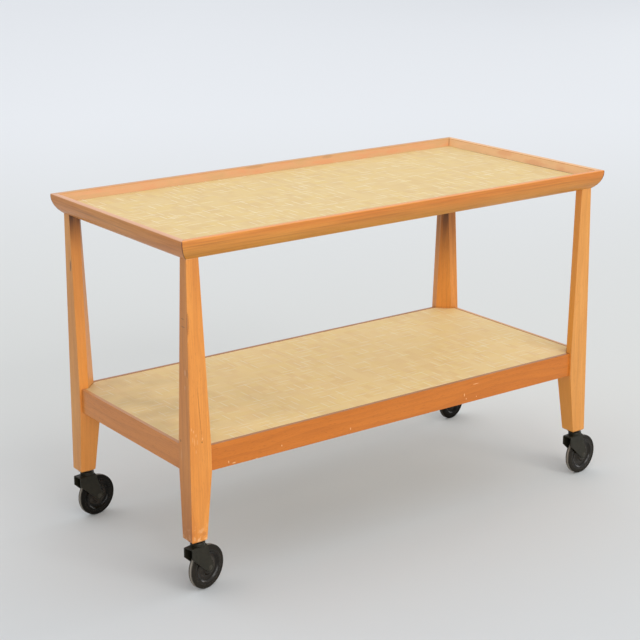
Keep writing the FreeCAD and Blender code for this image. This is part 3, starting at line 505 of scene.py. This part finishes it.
# BOARDS AND DOWELS
# Birch plywood boards under the laminate, seen only from below, and beech dowels inside the joints.
# Both are pale sanded wood, with a fainter figure than the stained pieces.
PLY_TONES = ("#D2C8B6", "#C6BAA4", "#A0907A")
plywood = lacquered_beech("sanded_birch_plywood", "X", (0.2, 0.2, 0.1), *PLY_TONES, rays=0.1, worn=0.0)
wear(["tray_board", "shelf_board"], plywood)
dowel_wood = lacquered_beech("bare_beech_dowel", "Z", (0.1, 0.3, 0.2), *PLY_TONES, worn=0.0)
wear(["rail_dowels", "leg_dowels"], dowel_wood)

# CASTER SOCKETS AND STEMS
# Turned steel sleeves driven into the feet, and the stems that the casters swivel on.
# Both are blackened, and show a dull grey where they have rubbed.
CORNERS = ("front_left", "front_right", "back_left", "back_right")
METAL_MOTTLE = 0.00625
METAL_EDGE = 0.0005


# Darkened steel: nearly black with an oily dull shine, and brighter grey on the rubbed edges.
# Its dark skin hides the metal, so it shines as a coat does.
def dark_metal(name, tone, mottle, rubbed_and_sky_lit_tone, smoothest, roughest):
    """Steel under a thin dark skin, mottled in two tones."""
    material, tree, shader, place = new_finish(name)
    clouds = {"Vector": place, "Scale": 1 / METAL_MOTTLE, "Detail": 4.0, "Roughness": 0.6}
    cloud = add(tree, "TexNoise", clouds)["Fac"]
    patch = add(tree, "MapRange", {"Value": cloud, "From Min": 0.38, "From Max": 0.68})[0]
    ground(material, patch, tone, mottle)
    tint(material, rubbed_and_sky_lit_tone, knocked_edges(tree, METAL_EDGE, place), 0.6)
    shine = {"Value": cloud, "From Min": 0.3, "From Max": 0.7, "To Min": smoothest, "To Max": roughest}
    tree.links.new(add(tree, "MapRange", shine)[0], shader.inputs["Roughness"])
    shader.inputs["Specular IOR Level"].default_value = 0.25
    return material


blackened = dark_metal("blackened_steel", "#26231F", "#1D1A17", "#5A554D", 0.45, 0.60)
wear([f"{corner}_{piece}" for corner in CORNERS for piece in ("socket", "stem")], blackened)

# CASTER FORKS AND SWIVEL HOUSINGS
# Pressed steel forks, bent into a channel and open in front, with a domed housing round the swivel.
# They were dipped in black enamel, which has gone a little olive and is worn on the edges.
enamel = dark_metal("dipped_black_enamel", "#28251A", "#211E14", "#625E50", 0.38, 0.52)
wear([f"{corner}_{piece}" for corner in CORNERS for piece in ("race", "fork")], enamel)

# AXLES AND BUSHES
# Mild steel pins riveted through the cheeks, and the tubes that the wheels turn on.
# Both have dulled to a dark grey-brown.
dull_steel = dark_metal("dull_mild_steel", "#3A362C", "#2E2A22", "#6C675B", 0.35, 0.55)
wear([f"{corner}_{piece}" for corner in CORNERS for piece in ("axle", "bush")], dull_steel)

# WHEELS
# Moulded phenolic discs, brown-black and polished by the mould, with hard grey rubber tyres pressed on.
# The treads are dusty and scuffed to a pale beige. The back wheels are painted blacker, with less shine and
# a less pale tread, as painted shade.
joints = {joint["name"]: joint for joint in frame["record"]["behaviour"]["joints"]}

# The disc's resin has swirls of about 17 mm, and its dish goes down between these two radii.
SWIRL = 0.01667
DISH_HIGH, DISH_LOW = 0.0185, 0.0155
DISC_EDGE = 0.0005
PHENOLIC_IOR = 1.6

# The rubber has scuffs of about 4 mm, and the tread's pale dust ends where the surface slants to the walls.
SCUFF, SCUFF_DEPTH = 0.003846, 0.0003
WALL_SLANT, TREAD_SLANT = 0.95, 0.55

# Two dirty grooves run round the tread, one on each side of its middle, between these distances from it.
RING_NEAR, RING_FAR = 0.0014, 0.0032
ring_middle, ring_half = (RING_NEAR + RING_FAR) / 2, (RING_FAR - RING_NEAR) / 2

# Each wheel has its disc's and its tyre's two tones, its shine and how pale its tread is.
FRONT_DISC, FRONT_TYRE = ("#1B150B", "#140F07"), ("#211B11", "#19140A")
# The back wheels' tones, shine and treads are made darker: painted shade.
SHADED_BACK_DISC, SHADED_BACK_TYRE = ("#0F0C06", "#0B0804"), ("#14100A", "#0F0C06")
for corner, disc_tones, tyre_tones, sheen, paleness in (
    ("front_left", FRONT_DISC, FRONT_TYRE, 0.24, 0.9),
    ("front_right", FRONT_DISC, FRONT_TYRE, 0.24, 0.9),
    ("back_left", SHADED_BACK_DISC, SHADED_BACK_TYRE, 0.14, 0.8),
    ("back_right", SHADED_BACK_DISC, SHADED_BACK_TYRE, 0.06, 0.15),
):
    hinge = joints[f"{corner}_roll"]
    hub, axle = tuple(hinge["pos_m"]), tuple(hinge["axis"])

    # Phenolic moulding: a hard brown-black gloss, with grey dust lying in the hollow of the dish.
    phenolic, tree, shader, place = new_finish(f"moulded_phenolic_{corner}")
    swirls = {"Vector": place, "Scale": 1 / SWIRL, "Detail": 3.0, "Roughness": 0.5}
    swirl = add(tree, "TexNoise", swirls)["Fac"]
    patch = add(tree, "MapRange", {"Value": swirl, "From Min": 0.35, "From Max": 0.65})[0]
    ground(phenolic, patch, *disc_tones)
    arm = add(tree, "VectorMath", {0: place, 1: hub}, operation="SUBTRACT")[0]
    lever = add(tree, "VectorMath", {0: arm, 1: axle}, operation="CROSS_PRODUCT")[0]
    radius = add(tree, "VectorMath", {0: lever}, operation="LENGTH")["Value"]
    dish = {"Value": radius, "From Min": DISH_HIGH, "From Max": DISH_LOW, "To Max": 0.3}
    tint(phenolic, "#5A5045", add(tree, "MapRange", dish)[0], patch)
    tint(phenolic, "#7A6A5A", knocked_edges(tree, DISC_EDGE, place), 0.5)
    gloss = {"Value": swirl, "From Min": 0.3, "From Max": 0.7, "To Min": 0.18, "To Max": 0.30}
    tree.links.new(add(tree, "MapRange", gloss)[0], shader.inputs["Roughness"])
    shader.inputs["IOR"].default_value = PHENOLIC_IOR
    shader.inputs["Specular IOR Level"].default_value = sheen
    wear([f"{corner}_wheel_disc"], phenolic)

    # Hard rubber: dull dark grey-brown walls, and a tread rubbed pale by the floor.
    rubber, tree, shader, place = new_finish(f"worn_hard_rubber_{corner}")
    scuffs = {"Vector": place, "Scale": 1 / SCUFF, "Detail": 5.0, "Roughness": 0.7}
    scuff = add(tree, "TexNoise", scuffs)["Fac"]
    patch = add(tree, "MapRange", {"Value": scuff, "From Min": 0.35, "From Max": 0.65})[0]
    ground(rubber, patch, *tyre_tones)
    normal = add(tree, "TexCoord")["Normal"]
    sideways = add(tree, "VectorMath", {0: normal, 1: axle}, operation="DOT_PRODUCT")["Value"]
    either_side = add(tree, "Math", {0: sideways}, operation="ABSOLUTE")[0]
    slant = add(tree, "Math", {0: either_side, 1: scuff}, operation="ADD")[0]
    tread = {"Value": slant, "From Min": WALL_SLANT, "From Max": TREAD_SLANT, "To Max": paleness}
    tint(rubber, "#9A9184", add(tree, "MapRange", tread)[0])
    arm = add(tree, "VectorMath", {0: place, 1: hub}, operation="SUBTRACT")[0]
    aside = add(tree, "VectorMath", {0: arm, 1: axle}, operation="DOT_PRODUCT")["Value"]
    from_middle = add(tree, "Math", {0: aside}, operation="ABSOLUTE")[0]
    past = add(tree, "Math", {0: from_middle, 1: ring_middle}, operation="SUBTRACT")[0]
    off_ring = add(tree, "Math", {0: past}, operation="ABSOLUTE")[0]
    ring = {"Value": off_ring, "From Min": 1.3 * ring_half, "From Max": 0.7 * ring_half, "To Max": 0.75}
    tint(rubber, "#2A241A", add(tree, "MapRange", ring)[0])
    dull = add(tree, "MapRange", {"Value": scuff, "To Min": 0.45, "To Max": 0.75})[0]
    relief = add(tree, "Bump", {"Strength": 0.2, "Distance": SCUFF_DEPTH, "Height": scuff})[0]
    tree.links.new(dull, shader.inputs["Roughness"])
    tree.links.new(relief, shader.inputs["Normal"])
    shader.inputs["Specular IOR Level"].default_value = sheen
    wear([f"{corner}_tyre"], rubber)

# STUDIO
# The trolley stands on a wide sheet of pale matt paper, under an even sky that is brighter behind it.
# A large soft lamp stands in front at the right, a weaker one low at the left, and a third one far out at
# the right side. The camera looks down a little on the front left corner.
stand = Vector((-1.4777, -1.9990, 1.0491))
yaw, pitch, roll = (math.radians(angle) for angle in (35.88, -16.66, -0.31))
flat_ahead = Vector((math.sin(yaw), math.cos(yaw), 0))
level = Vector((math.cos(yaw), -math.sin(yaw), 0))
ahead = flat_ahead * math.cos(pitch) + Vector((0, 0, math.sin(pitch)))
above = level.cross(ahead)
right = level * math.cos(roll) + above * math.sin(roll)
up = above * math.cos(roll) - level * math.sin(roll)
camera = bpy.data.objects.new("camera", bpy.data.cameras.new("camera"))
camera.data.lens = 90.28
camera.data.sensor_width = 36
camera.matrix_world = Matrix((right, up, -ahead)).transposed().to_4x4()
camera.location = stand
bpy.context.scene.collection.objects.link(camera)
bpy.context.scene.camera = camera

# Backdrop paper: matt and without shine. Painted shade makes it a little greyer in front and at the right,
# and painted light whiter far off, standing in for the lamps' falloff.
# Its tones change with the distance behind and beside the middle of the trolley.
HALF_FLOOR = 30.0
NEAR, MIDDLE, FAR = -1.1, 0.5, 4.0
SIDE_FROM, SIDE_FULL = -0.9, 1.3
sheet = bpy.data.meshes.new("paper_floor")
sheet_corners = [(x * HALF_FLOOR, y * HALF_FLOOR, 0) for x, y in ((-1, -1), (1, -1), (1, 1), (-1, 1))]
sheet.from_pydata(sheet_corners, [], [(0, 1, 2, 3)])
floor = bpy.data.objects.new("paper_floor", sheet)
bpy.context.scene.collection.objects.link(floor)
paper, tree, shader, place = new_finish("matt_backdrop_paper")
depth = add(tree, "VectorMath", {0: place, 1: tuple(flat_ahead)}, operation="DOT_PRODUCT")["Value"]
back = add(tree, "MapRange", {"Value": depth, "From Min": NEAR, "From Max": MIDDLE})[0]
far = add(tree, "MapRange", {"Value": depth, "From Min": MIDDLE, "From Max": FAR},
          interpolation_type="SMOOTHSTEP")[0]
ground(paper, back, "#D0D3D4", "#DCDDD9")
tint(paper, "#EDEFF0", far)
aside = add(tree, "VectorMath", {0: place, 1: tuple(level)}, operation="DOT_PRODUCT")["Value"]
greyer = {"Value": aside, "From Min": SIDE_FROM, "From Max": SIDE_FULL, "To Max": 0.07}
tint(paper, "#000000", add(tree, "MapRange", greyer)[0])
shader.inputs["Roughness"].default_value = 0.9
shader.inputs["Specular IOR Level"].default_value = 0.0
sheet.materials.append(paper)

# The sky's strength rises with the slope of the view, and near the horizon also towards the far side.
FRONT_GLOW, BACK_GLOW, TOP_GLOW = 0.30, 0.82, 0.98
world = bpy.data.worlds.new("studio")
bpy.context.scene.world = world
world.use_nodes = True
tree = world.node_tree
way = add(tree, "TexCoord")["Generated"]
slope = add(tree, "SeparateXYZ", {0: way})["Z"]
behind = add(tree, "VectorMath", {0: way, 1: tuple(flat_ahead)}, operation="DOT_PRODUCT")["Value"]
horizon = {"Value": behind, "From Min": 0.0, "From Max": 0.7, "To Min": FRONT_GLOW, "To Max": BACK_GLOW}
low_glow = add(tree, "MapRange", horizon, interpolation_type="SMOOTHSTEP")[0]
dome = {"Value": slope, "From Min": 0.10, "From Max": 0.60, "To Min": low_glow, "To Max": TOP_GLOW}
glow = add(tree, "MapRange", dome, interpolation_type="SMOOTHSTEP")[0]
tree.links.new(glow, tree.nodes["Background"].inputs["Strength"])
tree.nodes["Background"].inputs["Color"].default_value = linear("#F8FAFF")

# Each lamp has its place, its width in metres and its power in watts, and points at the shelf.
AIM = Vector((0, 0, 0.3))
for name, place, width, power in (
    ("softbox", (0.9, -6.0, 3.3), 3.0, 136),
    ("low_fill", (-1.4, -5.5, 1.05), 2.0, 70),
    ("side_light", (9.0, 0.4, 2.6), 4.0, 150),
):
    lamp = bpy.data.lights.new(name, "AREA")
    lamp.size = width
    lamp.energy = power
    holder = bpy.data.objects.new(name, lamp)
    holder.location = place
    holder.rotation_euler = (AIM - holder.location).to_track_quat("-Z", "Y").to_euler()
    bpy.context.scene.collection.objects.link(holder)
bpy.context.scene.view_settings.view_transform = "Standard"
